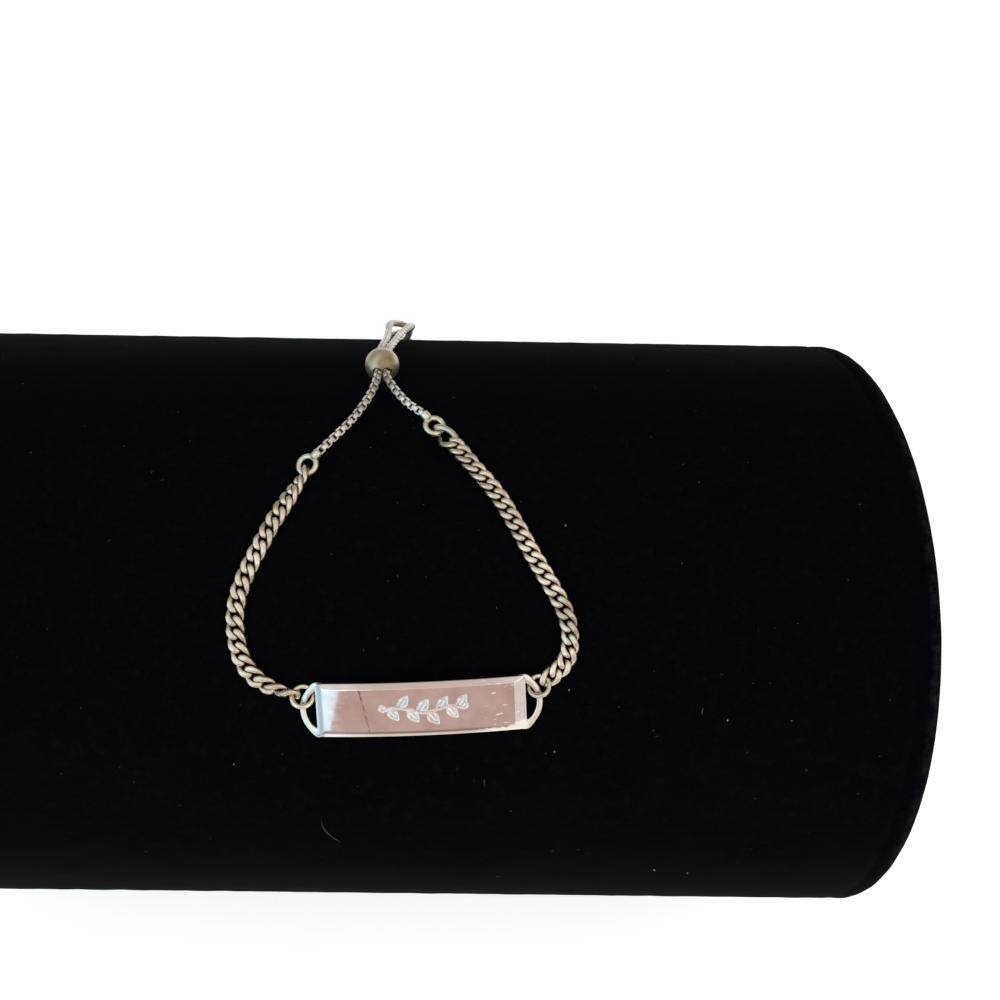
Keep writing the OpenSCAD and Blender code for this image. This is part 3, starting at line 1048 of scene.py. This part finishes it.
def curb_link(near, far, kind=CURB_LINK):
    """One link: an oval of round wire, twisted about its length, with both faces pressed a little flat.

    near and far are the rolls of the chain at the link's two joints, and kind is the link's sizes.
    """
    length, width, wire, full_twist = kind
    half_l = (length - wire) / 2
    half_w = (width - wire) / 2
    points = 44
    middle = []
    for t in np.arange(points) * 2 * math.pi / points:
        c, s = math.cos(t), math.sin(t)
        x = half_l * math.copysign(abs(c) ** CURB_OVAL, c)
        y = half_w * math.copysign(abs(s) ** CURB_OVAL, s)
        twist = math.radians(full_twist * x / half_l + near + (far - near) * (x / half_l + 1) / 2)
        middle.append((x, y * math.cos(twist), y * math.sin(twist)))
    rings = sweep(middle, circle(wire / 2, 12), centre=(0, 0, 0))
    lean = np.radians(near + (far - near) * (rings[:, :, 0] / half_l + 1) / 2)
    side = rings[:, :, 1] * np.cos(lean) + rings[:, :, 2] * np.sin(lean)
    up = rings[:, :, 2] * np.cos(lean) - rings[:, :, 1] * np.sin(lean)
    high = np.abs(up)
    pressed = CURB_FLAT + CURB_PRESS * (high - CURB_FLAT)
    up = np.sign(up) * np.where(high > CURB_FLAT, pressed, high)
    rings[:, :, 1] = side * np.cos(lean) - up * np.sin(lean)
    rings[:, :, 2] = up * np.cos(lean) + side * np.sin(lean)
    return skin(rings, closed=True)


def hook(frame_of_ring, ring_r, reach, towards):
    """Where a link's end lies in a ring: past its wire, on the line from the chain's next point."""
    local = frame_of_ring.inverted() @ towards
    a = math.atan2(local.y, local.x)
    wire = frame_of_ring @ Vector((ring_r * math.cos(a), ring_r * math.sin(a), 0))
    return wire - (reach + CLEAR) * (towards - wire).normalized()


def curb_route(rows, side):
    """The chain's route with its ends led through the eye and the jump ring."""
    eye = eye_frame(*EYES[side])
    ring = ring_frame(*RING_HANGS[side])
    start = hook(eye, EYE_R, (EYE_WIRE + FIRST_LINKS[side][2]) / 2, place(rows[1]))
    end = hook(ring, RING_R, (RING_WIRE + CURB_WIRE) / 2, place(rows[-2]))
    return Route([row_of(start), *rows[1:-1], row_of(end)])


def curb_mesh(rows, side):
    """All links of a curb chain, each twisted to suit the joints at its two ends.

    The first link of the right chain is longer and more open than the rest.
    """
    route = curb_route(rows, side)
    first_kind = FIRST_LINKS[side]
    extra = first_kind[0] - CURB_LENGTH
    half = (CURB_LENGTH - CURB_WIRE) / 2
    span = route.length - 2 * half - extra
    count = round(span / CURB_PITCH) + 1
    pitch = span / (count - 1)
    eye_roll, ring_roll = HOOK_ROLLS[side]
    draw = random.Random(7)
    rolls = []
    for joint in range(count + 1):
        at_eye = max(0, 1 - joint / HOOK_JOINTS) * eye_roll
        at_ring = max(0, 1 - (count - joint) / HOOK_JOINTS) * ring_roll
        s = half + (joint - 0.5) * pitch + (extra if joint else 0)
        rolls.append(at_eye + at_ring - route.row(s)[3] + draw.uniform(-2, 2))
    heap = Heap()
    first = curb_link(rolls[0], rolls[1], first_kind)
    heap.add(*first, route.seat(half + extra / 2, pitch + extra))
    for i in range(1, count):
        heap.add(*curb_link(rolls[i], rolls[i + 1]), route.seat(half + extra + i * pitch, pitch))
    return heap.mesh(f"curb_chain_{side}")


def box_link():
    """One square link, bent from flat strip with rounded corners."""
    half = (BOX_W - BOX_STRIP_T) / 2
    bend = 0.1
    middle = []
    out = []
    for k in range(4):
        corner = math.radians(90 * k + 45)
        cx = math.copysign(half - bend, math.cos(corner))
        cy = math.copysign(half - bend, math.sin(corner))
        for j in range(4):
            a = math.radians(90 * k + 30 * j)
            middle.append((cx + bend * math.cos(a), cy + bend * math.sin(a), 0))
            out.append((math.cos(a), math.sin(a), 0))
    middle = np.array(middle)[:, None]
    out = np.array(out)[:, None]
    up = np.array((0, 0, 1.0))
    outline = rounded(BOX_STRIP_T, BOX_STRIP_W, 0.045, steps=2)[None]
    rings = middle + outline[:, :, :1] * out + outline[:, :, 1:] * up
    return skin(rings, closed=True)


def box_mesh(rows, side):
    """All links of a box chain, every second one a quarter turned, with the first in the eye's socket."""
    inside = [a + SOCKET_DEPTH * (a - b) for a, b in zip(rows[0], rows[1])]
    route = Route([inside, *rows])
    count = int((route.length - BOX_PITCH) / BOX_PITCH)
    draw = random.Random(11)
    heap = Heap()
    link = box_link()
    for i in range(count + 1):
        s = BOX_PITCH / 2 + i * (route.length - BOX_PITCH) / count
        roll = 45 + 90 * (i % 2) + draw.uniform(-3, 3)
        heap.add(*link, route.seat(s, BOX_PITCH, roll))
    return heap.mesh(f"box_chain_{side}")


# The bead and the balls

def bead_mesh():
    """A ball with one opening for both chains: two round bores side by side, with worn lips."""
    around = 96
    r = BEAD_D / 2
    gap, bore = BORE_GAP / 2, BORE_D / 2
    turns = np.arange(around) * 2 * math.pi / around
    mouth = gap * np.abs(np.cos(turns)) + np.sqrt(bore**2 - (gap * np.sin(turns)) ** 2)
    start = np.arcsin((mouth + BORE_LIP) / r)
    edge = r * np.cos(start)
    half = [(mouth, 0.35 * edge), (mouth, edge - BORE_LIP)]
    for a in (math.radians(30), math.radians(60)):
        half.append((mouth + BORE_LIP * (1 - math.cos(a)), edge - BORE_LIP + BORE_LIP * math.sin(a)))
    for t in np.linspace(0, 1, 22):
        polar = start + (math.pi / 2 - start) * t
        half.append((r * np.sin(polar), r * np.cos(polar)))
    loop = half + [(out, -y) for out, y in half[::-1][1:]]
    rings = [np.stack([out * np.cos(turns), y, out * np.sin(turns)], axis=1) for out, y in loop]
    return lone(*skin(np.array(rings), closed=True)).mesh("bead")


def ball_frame(rows):
    """The frame at a tail's tip, with Z along the tail."""
    end, before = place(rows[-1]), place(rows[-2])
    f = (end - before).normalized()
    s = f.cross(outward(rows[-1][1])).normalized()
    u = s.cross(f)
    seat = Matrix((s, -u, f)).transposed().to_4x4()
    seat.translation = end
    return seat


def ball_mesh():
    """A ball with a short neck, turned in one piece."""
    r = BALL_D / 2
    step = BALL_NECK + r + CLEAR
    neck_r = 0.5
    profile = [(0.3, CLEAR), (0.46, CLEAR + 0.03), (neck_r, CLEAR + 0.12), (0.48, CLEAR + 0.3)]
    first = math.asin(neck_r / r)
    for a in np.linspace(first + 0.05, math.pi - 0.06, 24):
        profile.append((r * math.sin(a), step - r * math.cos(a)))
    rings = np.array([[(x, y, h) for x, y in circle(out, 48)] for out, h in profile])
    return lone(*skin(rings, closed=False)).mesh("ball")


# The studio

def soft_light(name, azimuth, elevation, distance, width, height, power, colour):
    """A rectangular light that faces the bracelet. Azimuth 0 is in front of the roll, 90 at its right."""
    a, e = math.radians(azimuth), math.radians(elevation)
    way = Vector((math.sin(a) * math.cos(e), -math.cos(a) * math.cos(e), math.sin(e)))
    lamp = bpy.data.lights.new(name, "AREA")
    lamp.shape = "RECTANGLE"
    lamp.size = width
    lamp.size_y = height
    lamp.energy = power
    lamp.color = colour
    light = bpy.data.objects.new(name, lamp)
    light.location = Vector(LIGHT_TARGET) * MM + way * distance
    light.rotation_euler = way.to_track_quat("Z", "Y").to_euler()
    light.visible_camera = False
    bpy.context.scene.collection.objects.link(light)


def studio():
    """A pale floor, even light from all round and the soft lights that the silver mirrors."""
    half = 3
    mesh = bpy.data.meshes.new("floor")
    corners = [(-half, -half, 0), (half, -half, 0), (half, half, 0), (-half, half, 0)]
    mesh.from_pydata(corners, [], [(0, 1, 2, 3)])
    mesh.materials.append(pale_floor())
    floor = bpy.data.objects.new("floor", mesh)
    bpy.context.scene.collection.objects.link(floor)
    world = bpy.data.worlds.new("studio")
    world.use_nodes = True
    world.node_tree.nodes["Background"].inputs["Color"].default_value = WORLD_COLOUR
    world.node_tree.nodes["Background"].inputs["Strength"].default_value = WORLD_STRENGTH
    bpy.context.scene.world = world
    for light in LIGHTS:
        soft_light(*light)
    bpy.context.scene.view_settings.view_transform = "Standard"


def camera():
    """The photograph's view."""
    data = bpy.data.cameras.new("camera")
    data.lens = CAMERA_LENS
    data.sensor_width = SENSOR
    data.clip_start = 0.005
    data.clip_end = 20
    right = Vector(CAMERA_RIGHT).normalized()
    back = Vector(CAMERA_DOWN).cross(right).normalized()
    up = back.cross(right)
    made = bpy.data.objects.new("camera", data)
    seat = Matrix((right, up, back)).transposed().to_4x4()
    seat.translation = Vector(CAMERA_AT) * MM
    made.matrix_world = seat
    bpy.context.scene.collection.objects.link(made)
    bpy.context.scene.camera = made


# The whole piece

lint_fluff = fluff("lint_fluff", tint(112, 112, 117), tint(180, 179, 182))
dust_fluff = fluff("dust_fluff", tint(36, 36, 40), tint(84, 84, 90))
put("display_roll_velvet", roll_mesh(), velvet(), "velvet", "display_roll", sharp=50)
put("velvet_lint", lint_mesh(), lint_fluff, "velvet")
put("velvet_dust", dust_mesh(), dust_fluff, "velvet")

curb_metal = silver("curb_silver")
box_metal = silver("box_silver")
ring_metal = silver("ring_silver")
eye_metal = silver("eye_silver")
ball_metal = silver("ball_silver")
bead_seat = on_roll(BEAD_PLACE, BEAD_D / 2 + BEAD_LIFT, BEAD_TURN)
# where the bead's painted reflection lies, on its surface
painted_reflection_middle = bead_seat.translation + Vector(PAINTED_REFLECTION_WAY).normalized() * BEAD_D / 2
bead_metal = silver("bead_silver", painted_reflection=(painted_reflection_middle, PAINTED_REFLECTION_R, tint(*PAINTED_REFLECTION_COLOUR)))

put("name_plate_silver", name_plate_mesh(), plate_silver(), "plate_silver", "name_plate",
    seat=plate_frame(), sharp=35)
for side, curb_rows, box_rows in (("left", CURB_LEFT, BOX_LEFT), ("right", CURB_RIGHT, BOX_RIGHT)):
    put(f"jump_ring_{side}_wire", ring_mesh(RING_CUTS[side]), ring_metal, "ring_silver", f"jump_ring_{side}",
        seat=ring_frame(*RING_HANGS[side]), sharp=40)
    put(f"end_eye_{side}_soldered", eye_mesh(), eye_metal, "eye_silver", f"end_eye_{side}",
        seat=eye_frame(*EYES[side]))
    put(f"curb_links_{side}", curb_mesh(curb_rows, side), curb_metal, "curb_silver", f"curb_chain_{side}")
    put(f"box_links_{side}", box_mesh(box_rows, side), box_metal, "box_silver", f"box_chain_{side}",
        sharp=40)
    put(f"tail_ball_{side}_turned", ball_mesh(), ball_metal, "bead_silver", f"tail_ball_{side}",
        seat=ball_frame(box_rows))
put("slider_bead_polished", bead_mesh(), bead_metal, "bead_silver", "slider_bead",
    seat=bead_seat, sharp=60)

studio()
camera()
